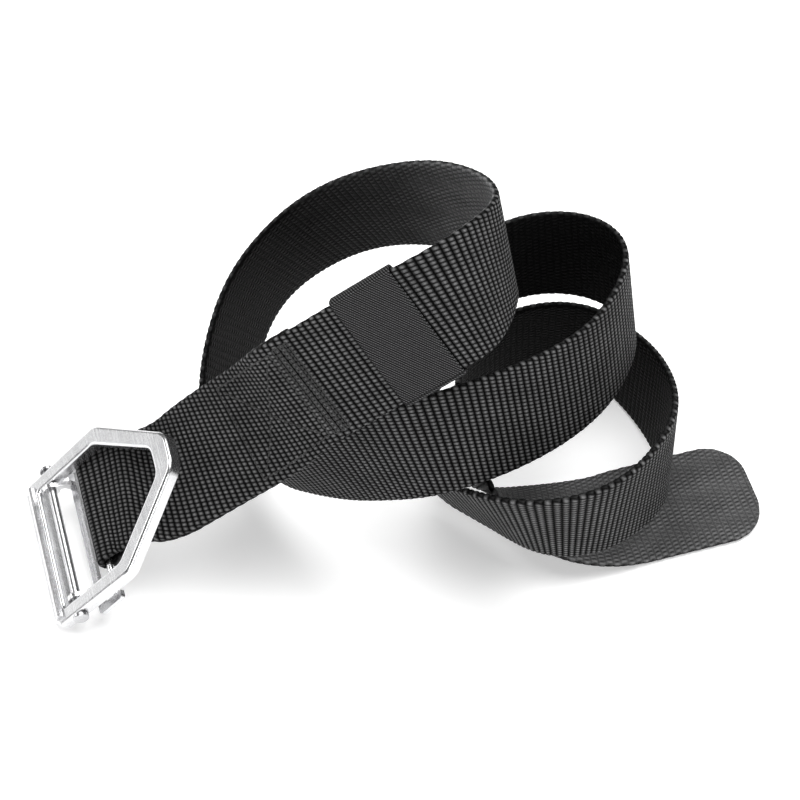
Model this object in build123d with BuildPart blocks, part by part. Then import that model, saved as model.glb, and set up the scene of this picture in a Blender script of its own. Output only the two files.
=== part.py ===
from build123d import *
import math
import os

# Webbing belt with a cam-lever quick-release buckle, resting as a loose coil.
# Millimetres, +Z up.  The origin is the middle of the footprint, on the ground.
# The strap runs from its folded end (held by the buckle) round the coil to a rounded tail that lies flat.

os.makedirs("parts", exist_ok=True)

# ---------------------------------------------------------------- driving sizes
STRAP_W = 50.0          # webbing width
STRAP_T = 3.0           # webbing thickness
TAIL_FLAT = 45.0        # straight flat length at the free end
TIP_R = 17.0            # corner radius of the free end

ROD_X = 3.0             # end bar of the base: the strap is folded round it
ROD_R = 1.5
ROD_GAP = 0.4           # space between end bar and webbing
PLATE_T = 2.0
RAIL_IN, RAIL_OUT = 33.0, 36.6
BAR_X0, BAR_X1 = -7.9, -4.4     # cross-bar of the base, left edge of the strap slot
EAR_Y0, EAR_Y1 = 26.5, 28.5
EAR_R = 3.6
PIN_R = 2.0             # pivot pin
PIN_X, PIN_Z = -12.0, 8.1
HEAD_R, HEAD_T = 3.4, 1.4
LEVER_Z0, LEVER_Z1 = 5.4, 10.9
LEVER_X0, LEVER_X1 = -25.5, 60.0
BUCKLE_OFF = 7.5        # the webbing sits this far off the middle of its slot
CAM_X1 = -17.5          # inner wall of the cam bar
CAM_TOP = 13.0
RUN_FIT = 0.05          # radial running clearance of the lever on the pin
KEEPER_L = 29.0
KEEPER_T = 1.3
KEEPER_GAP = 0.35
THREAD = 0.35           # height of the sewing thread over the webbing

# ---------------------------------------------------------------- centre line of the webbing
# (x, y, z) of the centre, unit vector across the width, unit normal of the outer face
STATIONS = [
    ((-125.912, -24.887, 19.256), (-0.23426, 0.97006, 0.06407), (-0.71838, -0.21713, 0.66090)),
    ((-121.327, -24.126, 24.490), (-0.23426, 0.97006, 0.06407), (-0.71838, -0.21713, 0.66090)),
    ((-116.743, -23.363, 29.724), (-0.19817, 0.97120, 0.13231), (-0.71380, -0.23550, 0.65956)),
    ((-109.053, -23.063, 37.435), (-0.18133, 0.96083, 0.20958), (-0.60954, -0.27704, 0.74277)),
    ((-99.824, -25.773, 42.710), (-0.20290, 0.93654, 0.28588), (-0.58327, -0.35010, 0.73296)),
    ((-91.348, -27.227, 49.535), (-0.26127, 0.90116, 0.34590), (-0.63259, -0.43052, 0.64380)),
    ((-83.607, -27.501, 57.488), (-0.33018, 0.85985, 0.38941), (-0.62557, -0.50827, 0.59188)),
    ((-75.866, -27.721, 65.475), (-0.38565, 0.81774, 0.42730), (-0.60569, -0.57374, 0.55134)),
    ((-68.206, -28.336, 73.539), (-0.42606, 0.77632, 0.46455), (-0.60923, -0.62580, 0.48704)),
    ((-60.877, -29.597, 81.812), (-0.46384, 0.73217, 0.49877), (-0.60867, -0.67246, 0.42109)),
    ((-53.819, -30.965, 90.137), (-0.50748, 0.67879, 0.53076), (-0.61654, -0.71636, 0.32666)),
    ((-47.931, -32.857, 99.099), (-0.55203, 0.61172, 0.56663), (-0.62808, -0.75202, 0.19997)),
    ((-42.852, -35.353, 108.458), (-0.58406, 0.48301, 0.65237), (-0.37953, -0.87293, 0.30652)),
    ((-36.358, -36.782, 116.994), (-0.58157, 0.42667, 0.69263), (-0.18037, -0.89786, 0.40165)),
    ((-27.798, -35.605, 123.468), (-0.58157, 0.42667, 0.69263), (-0.18037, -0.89786, 0.40165)),
    ((-19.219, -34.426, 129.957), (-0.58157, 0.42667, 0.69263), (-0.18037, -0.89786, 0.40165)),
    ((-10.640, -33.247, 136.445), (-0.58157, 0.42667, 0.69263), (-0.18037, -0.89786, 0.40165)),
    ((-2.061, -32.068, 142.933), (-0.58157, 0.42667, 0.69263), (-0.18037, -0.89786, 0.40165)),
    ((6.518, -30.889, 149.421), (-0.58157, 0.42667, 0.69263), (-0.18037, -0.89786, 0.40165)),
    ((15.096, -29.710, 155.910), (-0.58157, 0.42667, 0.69263), (-0.18037, -0.89786, 0.40165)),
    ((23.866, -26.282, 159.756), (-0.50001, 0.41731, 0.75884), (0.27261, -0.75585, 0.59529)),
    ((31.631, -19.935, 160.749), (-0.39265, 0.38904, 0.83335), (0.62099, -0.55622, 0.55226)),
    ((37.898, -10.981, 159.387), (-0.28886, 0.34893, 0.89152), (0.83327, -0.36690, 0.41358)),
    ((42.532, -0.426, 156.093), (-0.20545, 0.30583, 0.92965), (0.94530, -0.18390, 0.26941)),
    ((44.400, 11.229, 151.733), (-0.17626, 0.27058, 0.94643), (0.98183, 0.11694, 0.14942)),
    ((41.081, 23.435, 146.952), (-0.17754, 0.23230, 0.95630), (0.90207, 0.42685, 0.06378)),
    ((34.079, 34.582, 141.424), (-0.21446, 0.19550, 0.95697), (0.78348, 0.61948, 0.04903)),
    ((25.576, 43.958, 135.414), (-0.27700, 0.16082, 0.94732), (0.67116, 0.73791, 0.07098)),
    ((17.314, 51.016, 129.094), (-0.34312, 0.12282, 0.93123), (0.54843, 0.83107, 0.09247)),
    ((9.062, 56.217, 123.177), (-0.39627, 0.07618, 0.91497), (0.41084, 0.90593, 0.10251)),
    ((0.325, 59.999, 117.794), (-0.43496, 0.02094, 0.90021), (0.29066, 0.94948, 0.11835)),
    ((-8.445, 62.963, 112.052), (-0.46400, -0.03934, 0.88496), (0.18283, 0.97325, 0.13913)),
    ((-17.140, 64.984, 105.875), (-0.48373, -0.10199, 0.86925), (0.05380, 0.98784, 0.14585)),
    ((-25.769, 65.776, 99.390), (-0.49053, -0.16625, 0.85542), (-0.10009, 0.98588, 0.13421)),
    ((-34.249, 65.035, 92.736), (-0.48281, -0.23134, 0.84462), (-0.26317, 0.95822, 0.11202)),
    ((-42.405, 62.769, 86.030), (-0.46342, -0.29457, 0.83575), (-0.41543, 0.90529, 0.08873)),
    ((-50.020, 59.116, 79.300), (-0.43836, -0.35093, 0.82746), (-0.56204, 0.82545, 0.05232)),
    ((-56.654, 53.923, 72.537), (-0.41468, -0.39501, 0.81976), (-0.70335, 0.71072, -0.01333)),
    ((-61.833, 47.173, 65.853), (-0.39760, -0.42382, 0.81381), (-0.81122, 0.57682, -0.09594)),
    ((-65.522, 39.267, 59.410), (-0.38824, -0.43636, 0.81170), (-0.87219, 0.45840, -0.17074)),
    ((-68.030, 30.684, 53.241), (-0.38481, -0.42972, 0.81686), (-0.90340, 0.35675, -0.23790)),
    ((-69.349, 21.587, 47.430), (-0.38720, -0.39802, 0.83166), (-0.91987, 0.22796, -0.31917)),
    ((-69.078, 11.759, 42.747), (-0.39928, -0.33871, 0.85197), (-0.90667, 0.00795, -0.42176)),
    ((-66.364, 1.377, 40.632), (-0.42421, -0.26042, 0.86731), (-0.81367, -0.31076, -0.49129)),
    ((-60.905, -8.132, 41.792), (-0.45704, -0.18097, 0.87084), (-0.63595, -0.61801, -0.46220)),
    ((-53.660, -15.589, 45.837), (-0.48502, -0.11441, 0.86699), (-0.47031, -0.80170, -0.36890)),
    ((-45.712, -21.454, 51.375), (-0.49722, -0.06194, 0.86541), (-0.39669, -0.87085, -0.29025)),
    ((-37.427, -26.818, 57.341), (-0.49194, -0.01607, 0.87048), (-0.37452, -0.89869, -0.22824)),
    ((-28.833, -31.594, 63.605), (-0.47442, 0.02954, 0.87980), (-0.34972, -0.92351, -0.15758)),
    ((-19.959, -35.606, 70.078), (-0.44965, 0.07484, 0.89006), (-0.32635, -0.94135, -0.08572)),
    ((-10.851, -39.006, 76.534), (-0.41847, 0.11605, 0.90079), (-0.30955, -0.95064, -0.02133)),
    ((-1.478, -41.906, 82.671), (-0.37904, 0.15142, 0.91291), (-0.25889, -0.96448, 0.05248)),
    ((8.321, -43.523, 88.093), (-0.33105, 0.18274, 0.92575), (-0.10888, -0.98191, 0.15489)),
    ((18.562, -42.702, 91.711), (-0.27928, 0.21052, 0.93685), (0.13038, -0.95832, 0.25421)),
    ((28.786, -39.465, 92.896), (-0.23244, 0.23035, 0.94494), (0.33130, -0.89469, 0.29960)),
    ((38.731, -34.896, 92.722), (-0.19725, 0.23653, 0.95139), (0.44589, -0.84263, 0.30193)),
    ((48.338, -29.459, 91.945), (-0.17443, 0.22775, 0.95797), (0.51905, -0.80548, 0.28600)),
    ((57.592, -23.369, 90.957), (-0.16035, 0.20767, 0.96497), (0.57748, -0.77311, 0.26234)),
    ((66.404, -16.639, 89.957), (-0.15070, 0.18166, 0.97174), (0.63764, -0.73330, 0.23597)),
    ((74.605, -9.185, 89.061), (-0.14242, 0.15497, 0.97760), (0.70669, -0.67562, 0.21006)),
    ((81.936, -0.903, 88.314), (-0.13398, 0.13294, 0.98203), (0.78658, -0.58849, 0.18698)),
    ((88.013, 8.294, 87.666), (-0.12522, 0.12016, 0.98483), (0.86588, -0.47135, 0.16761)),
    ((92.622, 18.256, 86.990), (-0.11682, 0.11772, 0.98615), (0.92393, -0.35134, 0.15139)),
    ((95.998, 28.628, 86.125), (-0.10969, 0.12142, 0.98652), (0.96986, -0.20418, 0.13296)),
    ((97.339, 39.356, 84.989), (-0.10468, 0.12302, 0.98687), (0.99375, 0.05165, 0.09898)),
    ((95.149, 49.842, 83.581), (-0.10166, 0.11441, 0.98822), (0.91726, 0.39532, 0.04859)),
    ((89.155, 58.707, 82.044), (-0.09752, 0.09286, 0.99089), (0.70821, 0.70600, 0.00354)),
    ((80.266, 64.787, 80.666), (-0.08757, 0.06421, 0.99409), (0.41283, 0.91053, -0.02244)),
    ((69.811, 67.423, 79.837), (-0.07191, 0.03878, 0.99666), (0.08832, 0.99557, -0.03237)),
    ((59.079, 66.639, 79.830), (-0.05825, 0.02214, 0.99806), (-0.20932, 0.97726, -0.03390)),
    ((48.988, 62.979, 80.296), (-0.05492, 0.01035, 0.99844), (-0.44840, 0.89319, -0.03393)),
    ((40.002, 57.093, 80.644), (-0.06385, -0.00741, 0.99793), (-0.64390, 0.76428, -0.03553)),
    ((32.652, 49.249, 81.012), (-0.08309, -0.04536, 0.99551), (-0.79570, 0.60444, -0.03887)),
    ((27.033, 40.081, 81.570), (-0.11135, -0.11614, 0.98697), (-0.87684, 0.47889, -0.04257)),
    ((22.417, 30.482, 80.713), (-0.14468, -0.21870, 0.96501), (-0.90079, 0.43267, -0.03700)),
    ((18.433, 21.711, 76.139), (-0.17206, -0.33009, 0.92814), (-0.90879, 0.41677, -0.02025)),
    ((15.170, 14.115, 69.125), (-0.18105, -0.42073, 0.88894), (-0.91828, 0.39594, 0.00037)),
    ((12.187, 7.238, 61.142), (-0.16822, -0.47695, 0.86269), (-0.92643, 0.37550, 0.02695)),
    ((9.138, 0.381, 53.153), (-0.14484, -0.50082, 0.85335), (-0.95472, 0.29726, 0.01241)),
    ((7.470, -7.262, 45.598), (-0.13469, -0.49730, 0.85706), (-0.99050, 0.04349, -0.13042)),
    ((10.289, -15.351, 39.169), (-0.15851, -0.46752, 0.86966), (-0.86752, -0.35464, -0.34878)),
    ((17.591, -22.429, 35.846), (-0.21398, -0.41208, 0.88567), (-0.62140, -0.64214, -0.44890)),
    ((26.063, -29.086, 36.980), (-0.27301, -0.34170, 0.89928), (-0.50480, -0.74488, -0.43628)),
    ((34.003, -36.341, 40.609), (-0.30274, -0.27905, 0.91131), (-0.51724, -0.75501, -0.40302)),
    ((41.682, -44.511, 45.833), (-0.28533, -0.24113, 0.92760), (-0.51647, -0.77661, -0.36074)),
    ((50.182, -51.765, 50.649), (-0.21974, -0.22268, 0.94980), (-0.40397, -0.86543, -0.29636)),
    ((60.226, -55.659, 53.110), (-0.12093, -0.20085, 0.97213), (-0.14554, -0.96515, -0.21751)),
    ((70.974, -55.529, 53.440), (-0.01897, -0.15732, 0.98737), (0.16932, -0.97378, -0.15191)),
    ((81.128, -51.878, 52.165), (0.05564, -0.09457, 0.99396), (0.43658, -0.89299, -0.10940)),
    ((90.073, -45.781, 50.090), (0.09079, -0.02806, 0.99547), (0.62400, -0.77744, -0.07882)),
    ((97.756, -38.085, 47.761), (0.09438, 0.03184, 0.99503), (0.74614, -0.66394, -0.04953)),
    ((104.350, -29.388, 45.420), (0.08183, 0.08548, 0.99297), (0.82918, -0.55861, -0.02025)),
    ((109.835, -19.978, 42.877), (0.06525, 0.13491, 0.98871), (0.90191, -0.43192, -0.00058)),
    ((113.667, -9.926, 39.776), (0.05153, 0.17476, 0.98326), (0.96513, -0.26174, -0.00406)),
    ((115.379, 0.568, 36.240), (0.04438, 0.19479, 0.97984), (0.99657, -0.07723, -0.02979)),
    ((115.096, 11.214, 32.798), (0.04434, 0.18949, 0.98088), (0.99449, 0.08500, -0.06138)),
    ((113.169, 21.809, 29.847), (0.04810, 0.16197, 0.98562), (0.97123, 0.22282, -0.08402)),
    ((109.832, 32.167, 27.518), (0.05035, 0.11988, 0.99151), (0.92839, 0.36037, -0.09072)),
    ((104.954, 41.977, 25.891), (0.04682, 0.07025, 0.99643), (0.85901, 0.50628, -0.07605)),
    ((98.567, 50.915, 25.075), (0.03621, 0.01814, 0.99918), (0.77112, 0.63547, -0.03949)),
    ((91.017, 58.833, 24.998), (0.02141, -0.03231, 0.99925), (0.63985, 0.76842, 0.01114)),
    ((81.947, 64.750, 25.295), (0.00872, -0.07701, 0.99699), (0.40530, 0.91174, 0.06688)),
    ((71.498, 67.470, 25.545), (0.00317, -0.11029, 0.99389), (0.09627, 0.98932, 0.10947)),
    ((60.702, 66.782, 25.615), (0.00284, -0.12372, 0.99231), (-0.19941, 0.97232, 0.12180)),
    ((50.485, 63.173, 25.449), (0.00034, -0.11042, 0.99388), (-0.45098, 0.88706, 0.09871)),
    ((41.519, 57.082, 25.148), (-0.00777, -0.07440, 0.99720), (-0.66234, 0.74749, 0.05061)),
    ((34.374, 48.927, 24.993), (-0.01444, -0.03457, 0.99930), (-0.82972, 0.55814, 0.00732)),
    ((29.522, 39.246, 25.297), (-0.00856, -0.01534, 0.99985), (-0.94205, 0.33546, -0.00292)),
    ((27.099, 28.508, 26.237), (0.01224, -0.03425, 0.99934), (-0.99299, 0.11711, 0.01617)),
    ((26.972, 17.388, 26.968), (0.03852, -0.10111, 0.99413), (-0.99618, -0.08191, 0.03027)),
    ((28.934, 6.417, 26.867), (0.05857, -0.22305, 0.97305), (-0.96336, -0.26817, -0.00348)),
    ((32.871, -3.783, 25.280), (0.06802, -0.39985, 0.91405), (-0.88374, -0.44933, -0.13079)),
    ((39.059, -12.035, 21.860), (0.07027, -0.60558, 0.79268), (-0.73137, -0.57166, -0.37189)),
    ((47.256, -16.661, 16.802), (0.07235, -0.78601, 0.61397), (-0.55784, -0.54218, -0.62837)),
    ((56.601, -18.466, 11.871), (0.08327, -0.90165, 0.42437), (-0.40665, -0.41953, -0.81156)),
    ((66.774, -18.739, 8.131), (0.11233, -0.95694, 0.26769), (-0.28101, -0.28899, -0.91516)),
    ((77.407, -17.628, 5.304), (0.16239, -0.97458, 0.15433), (-0.19135, -0.18454, -0.96402)),
    ((87.905, -15.576, 3.333), (0.22541, -0.97153, 0.07301), (-0.13599, -0.10558, -0.98507)),
    ((98.008, -11.972, 1.772), (0.29040, -0.95687, 0.00765), (0.00223, -0.00732, -0.99997)),
    ((108.310, -8.621, 1.500), (0.29082, -0.95678, 0.00000), (0.00000, 0.00000, -1.00000)),
]

BUCKLE_X = (0.655023, 0.108793, 0.747736)
BUCKLE_Y = (-0.234256, 0.970061, 0.064070)
TAIL_X = (0.956776, 0.290825, 0.000000)
TAIL_Y = (0.290825, -0.956776, 0.000000)
KEEPER_A, KEEPER_B = 17, 18     # the keeper is centred between these stations
LAYER_LAST = 14         # last station of the folded-under layer
BOX_A, BOX_B = 9, 13    # sewn rectangle


def vec(a):
    return Vector(*a)


def section(i, off=0.0, thick=STRAP_T, width=STRAP_W):
    """Closed rectangle across the webbing at station i."""
    c, w, n = (vec(q) for q in STATIONS[i])
    c = c + n * off
    a, b = w * (width / 2), n * (thick / 2)
    return Wire.make_polygon([c - a - b, c + a - b, c + a + b, c - a + b], close=True)


def run(i0, i1, off=0.0, thick=STRAP_T, width=STRAP_W):
    return Solid.make_loft([section(i, off, thick, width) for i in range(i0, i1 + 1)], True)


def at(s, v):
    """Point on the outer face: s counts stations, v runs -0.5 to 0.5 across the width."""
    i = min(int(s), len(STATIONS) - 2)
    f = s - i
    pa, wa, na = (vec(q) for q in STATIONS[i])
    pb, wb, nb = (vec(q) for q in STATIONS[i + 1])
    a = pa + wa * (v * STRAP_W) + na * (STRAP_T / 2)
    b = pb + wb * (v * STRAP_W) + nb * (STRAP_T / 2)
    n = (na * (1 - f) + nb * f).normalized()
    return a * (1 - f) + b * f, n, (wa * (1 - f) + wb * f).normalized(), (pb - pa).normalized()


def thread(points, along, wide=0.9, lift=0.12, high=THREAD):
    """Low ridge of thread through (s, v) points; along is 's' or 'v'."""
    loops = []
    for s, v in points:
        p, n, w, t = at(s, v)
        side = (w if along == "s" else t) * (wide / 2)
        lo, hi = p + n * lift, p + n * (lift + high)
        loops.append(Wire.make_polygon([lo - side, lo + side, hi + side, hi - side], close=True))
    return Solid.make_loft(loops, True)


bx, by = vec(BUCKLE_X), vec(BUCKLE_Y)
bz = bx.cross(by)
buckle_frame = Plane(origin=vec(STATIONS[0][0]) - bz * 1.6, x_dir=bx, z_dir=bz)
metal_frame = Plane(origin=vec(STATIONS[0][0]) - bz * 1.6 - by * BUCKLE_OFF, x_dir=bx, z_dir=bz)
side_xz = Plane(origin=(0, 0, 0), x_dir=(1, 0, 0), z_dir=(0, -1, 0))     # local x, local z

# ---------------------------------------------------------------- webbing strap
r_in, r_out = ROD_R + ROD_GAP, ROD_R + ROD_GAP + STRAP_T
with BuildPart() as fold_local:
    with BuildSketch(side_xz):
        with BuildLine():
            Polyline((ROD_X, r_out), (ROD_X + 3.0, r_out), (14.4, 3.1), (14.4, -2.85), (ROD_X + 3.0, -r_out), (ROD_X, -r_out))
            CenterArc((ROD_X, 0), r_out, 90, 180)
        make_face()
        with BuildLine():
            Polyline((ROD_X, r_in), (ROD_X + 2.0, r_in), (ROD_X + 5.0, 0.0), (ROD_X + 2.0, -r_in), (ROD_X, -r_in))
            CenterArc((ROD_X, 0), r_in, 90, 180)
        make_face(mode=Mode.SUBTRACT)
    extrude(amount=STRAP_W / 2, both=True)

with BuildPart() as tail_local:
    with BuildSketch(Plane.XY):
        with Locations((TAIL_FLAT / 2 - 0.25, 0)):
            Rectangle(TAIL_FLAT + 0.5, STRAP_W)
    extrude(amount=STRAP_T)
    fillet(tail_local.edges().filter_by(Axis.Z).group_by(Axis.X)[-1], TIP_R)
tail_plane = Plane(origin=vec(STATIONS[-1][0]) - Vector(0, 0, STRAP_T / 2), x_dir=vec(TAIL_X), z_dir=(0, 0, 1))

with BuildPart() as webbing_strap:
    add(fold_local.part.moved(buckle_frame.location))
    add(run(2, len(STATIONS) - 1))
    add(run(2, LAYER_LAST, off=-STRAP_T + 0.05))
    add(tail_local.part.moved(tail_plane.location))

# ---------------------------------------------------------------- buckle base: cross-bar, rails, ears, end bar
with BuildPart() as base_local:
    with BuildSketch(Plane.XY.offset(-PLATE_T / 2)):
        with Locations(((BAR_X0 + 6.5) / 2, 0)):
            RectangleRounded(6.5 - BAR_X0, 2 * RAIL_OUT, 1.5)
        with Locations(((BAR_X1 + 9.0) / 2, 0)):
            Rectangle(9.0 - BAR_X1, 2 * RAIL_IN, mode=Mode.SUBTRACT)
    extrude(amount=PLATE_T)
    with Locations(Location((ROD_X, 0, 0), (90, 0, 0))):
        Cylinder(ROD_R, 2 * RAIL_IN + 1.0)
    for y in (-1, 1):
        with BuildSketch(side_xz.offset(-y * (EAR_Y0 + EAR_Y1) / 2)):
            with BuildLine():
                Polyline((BAR_X0, 0.0), (BAR_X1, 0.0), (BAR_X1, 3.5), (PIN_X + 2.4, PIN_Z + 2.6), (PIN_X, PIN_Z), (PIN_X + 2.2, PIN_Z - 2.7), (BAR_X0, 4.4), close=True)
            make_face()
            with Locations((PIN_X, PIN_Z)):
                Circle(EAR_R)
        extrude(amount=(EAR_Y1 - EAR_Y0) / 2, both=True)
    with Locations(Location((PIN_X, 0, PIN_Z), (90, 0, 0))):
        Cylinder(PIN_R + 0.03, 2 * RAIL_OUT, mode=Mode.SUBTRACT)
with BuildPart() as buckle_base:
    add(base_local.part.moved(metal_frame.location))

# ---------------------------------------------------------------- lever: hexagonal ring with a cam bar at the wide end
outer = [(LEVER_X0, -31.5), (LEVER_X0 + 3.5, -35.5), (22.0, -37.0), (LEVER_X1, -8.0),
         (LEVER_X1, 8.0), (22.0, 37.0), (LEVER_X0 + 3.5, 35.5), (LEVER_X0, 31.5)]
inner = [(CAM_X1, -29.1), (18.5, -29.8), (50.0, -6.5), (50.0, 6.5), (18.5, 29.8), (CAM_X1, 29.1)]
with BuildPart() as lever_local:
    with BuildSketch(Plane.XY.offset(LEVER_Z0)) as ring:
        Polygon(*outer, align=None)
        fillet(ring.vertices().filter_by_position(Axis.X, 20, 61), 9.0)
        with BuildSketch(mode=Mode.PRIVATE) as hole:
            Polygon(*inner, align=None)
            fillet(hole.vertices().filter_by_position(Axis.X, 15, 61), 6.0)
            fillet(hole.vertices().filter_by_position(Axis.X, -30, 0), 1.2)
        add(hole.sketch, mode=Mode.SUBTRACT)
    extrude(amount=LEVER_Z1 - LEVER_Z0)
    rim = lever_local.faces().sort_by(Axis.Z)[-1]
    fillet(rim.outer_wire().edges() + rim.inner_wires()[0].edges(), 1.3)
    # cam bar: low outer lip, sloped outer face, ridge, hollow inner wall
    with BuildSketch(side_xz):
        with BuildLine():
            Polyline((LEVER_X0, 6.6), (LEVER_X0 + 1.2, LEVER_Z0), (CAM_X1, LEVER_Z0), (CAM_X1, 8.2))
            ThreePointArc((CAM_X1, 8.2), (CAM_X1 - 1.3, 10.2), (CAM_X1 - 2.0, CAM_TOP - 0.6))
            Polyline((CAM_X1 - 2.0, CAM_TOP - 0.6), (CAM_X1 - 2.8, CAM_TOP), (CAM_X1 - 3.8, CAM_TOP - 0.2), (LEVER_X0 + 0.4, 9.4), (LEVER_X0, 6.6))
        make_face()
    extrude(amount=32.4, both=True)
    with Locations(Location((PIN_X, 0, PIN_Z), (90, 0, 0))):
        Cylinder(PIN_R + RUN_FIT, 80, mode=Mode.SUBTRACT)
with BuildPart() as buckle_lever:
    add(lever_local.part.moved(metal_frame.location))

# ---------------------------------------------------------------- pivot pin with a head at each end
PIN_HALF = 36.4
with BuildPart() as pin_local:
    with Locations(Location((PIN_X, 0, PIN_Z), (90, 0, 0))):
        Cylinder(PIN_R, 2 * PIN_HALF + 0.2)
    for y in (-1, 1):
        with Locations(Location((PIN_X, y * (PIN_HALF + HEAD_T / 2), PIN_Z), (90, 0, 0))):
            Cylinder(HEAD_R, HEAD_T)
    fillet(pin_local.edges().filter_by(GeomType.CIRCLE).group_by(Axis.Y)[-1] + pin_local.edges().filter_by(GeomType.CIRCLE).group_by(Axis.Y)[0], 0.5)
with BuildPart() as pivot_pin:
    add(pin_local.part.moved(metal_frame.location))

# ---------------------------------------------------------------- elastic keeper and its seam
ka, kb = vec(STATIONS[KEEPER_A][0]), vec(STATIONS[KEEPER_B][0])
kx = (kb - ka).normalized()
kw = vec(STATIONS[KEEPER_A][1]) + vec(STATIONS[KEEPER_B][1])
kz = kx.cross(kw).normalized()
keeper_frame = Plane(origin=(ka + kb) * 0.5, x_dir=kx, z_dir=kz)
IN_W, IN_T = STRAP_W + 2 * KEEPER_GAP + 0.3, STRAP_T + 2 * KEEPER_GAP
with BuildPart() as keeper_local:
    with BuildSketch(Plane.YZ.offset(-KEEPER_L / 2)):
        RectangleRounded(IN_W + 2 * KEEPER_T, IN_T + 2 * KEEPER_T, 1.6)
        Rectangle(IN_W, IN_T, mode=Mode.SUBTRACT)
    extrude(amount=KEEPER_L)
with BuildPart() as keeper_loop:
    add(keeper_local.part.moved(keeper_frame.location))

with BuildPart() as seam_local:
    for x in (-4.0, 4.0):
        with Locations((x, 0, -(IN_T / 2 + KEEPER_T + 0.03 + THREAD / 2))):
            Box(0.9, 36.0, THREAD)
    with Locations((0, -18.45, -(IN_T / 2 + KEEPER_T + 0.03 + THREAD / 2)), (0, 18.45, -(IN_T / 2 + KEEPER_T + 0.03 + THREAD / 2))):
        Box(8.9, 0.9, THREAD)
with BuildPart() as keeper_seam:
    add(seam_local.part.moved(keeper_frame.location))

# ---------------------------------------------------------------- sewing on the folded end
V_BOX = 0.41
with BuildPart() as box_stitch:
    for v in (-V_BOX, V_BOX):
        add(thread([(s, v) for s in range(BOX_A, BOX_B + 1)], "s"))
    for s in (BOX_A + 0.05, BOX_B - 0.05):
        add(thread([(s, -V_BOX), (s, V_BOX)], "v"))

with BuildPart() as cross_stitch:
    for sign in (-1, 1):
        add(thread([(BOX_A + 0.3 + (BOX_B - BOX_A - 0.6) * k / 16, sign * 0.36 * (2 * k / 16 - 1)) for k in range(17)], "s"))

with BuildPart() as bar_tack:
    for k in range(7):
        s = BOX_B + 0.18 + 0.11 * k
        add(thread([(s, -0.43), (s, 0.43)], "v", wide=0.8))
    for v in (-0.43, 0.43):
        add(thread([(BOX_B + 0.15, v), (BOX_B + 0.9, v)], "s"))

# ---------------------------------------------------------------- export
for name, piece in (("webbing_strap", webbing_strap), ("buckle_base", buckle_base), ("buckle_lever", buckle_lever),
                    ("pivot_pin", pivot_pin), ("keeper_loop", keeper_loop), ("keeper_seam", keeper_seam),
                    ("box_stitch", box_stitch), ("cross_stitch", cross_stitch), ("bar_tack", bar_tack)):
    piece.part.label = name
    export_step(piece.part, "parts/" + name + ".step")
    b = piece.part.bounding_box()
    print(name, "solids", len(piece.part.solids()), "volume", round(piece.part.volume, 1),
          "min", [round(q, 2) for q in b.min], "max", [round(q, 2) for q in b.max])
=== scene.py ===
import bpy
import math
import numpy as np
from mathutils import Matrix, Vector


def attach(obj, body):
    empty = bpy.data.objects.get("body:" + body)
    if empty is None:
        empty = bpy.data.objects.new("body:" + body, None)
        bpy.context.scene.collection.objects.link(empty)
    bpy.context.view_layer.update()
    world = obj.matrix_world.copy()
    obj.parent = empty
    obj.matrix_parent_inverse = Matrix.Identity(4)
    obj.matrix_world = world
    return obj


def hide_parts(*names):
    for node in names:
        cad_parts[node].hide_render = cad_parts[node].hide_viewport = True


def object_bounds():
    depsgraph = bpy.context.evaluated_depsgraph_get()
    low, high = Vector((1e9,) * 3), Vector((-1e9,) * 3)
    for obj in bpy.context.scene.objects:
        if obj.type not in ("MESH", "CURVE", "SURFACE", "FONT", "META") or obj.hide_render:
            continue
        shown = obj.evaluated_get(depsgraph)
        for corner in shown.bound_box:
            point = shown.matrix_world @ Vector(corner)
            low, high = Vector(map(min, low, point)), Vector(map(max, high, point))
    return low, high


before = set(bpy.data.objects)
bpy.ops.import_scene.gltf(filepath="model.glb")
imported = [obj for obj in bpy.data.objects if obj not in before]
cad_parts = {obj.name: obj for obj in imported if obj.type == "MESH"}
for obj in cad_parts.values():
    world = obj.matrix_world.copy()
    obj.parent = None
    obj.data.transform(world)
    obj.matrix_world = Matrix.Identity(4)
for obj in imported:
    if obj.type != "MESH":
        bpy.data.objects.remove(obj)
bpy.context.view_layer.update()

MM = 0.001

# ------------------------------------------------------------------ sizes, mm
STRAP_W, STRAP_T = 50.0, 3.0
TAIL_FLAT, TIP_R = 45.0, 17.0
ROD_X, FOLD_R = 3.0, 3.4
LAYER_LAST = 14
BOX_A, BOX_B = 9, 13
V_BOX = 0.41
KEEPER_A, KEEPER_B = 17, 18
KEEPER_L, KEEPER_T, KEEPER_GAP = 29.0, 1.3, 0.35
RIB = 2.9               # pitch of the weave ribs along the webbing
BEAD = 1.85             # pitch of the yarn beads across it

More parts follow.
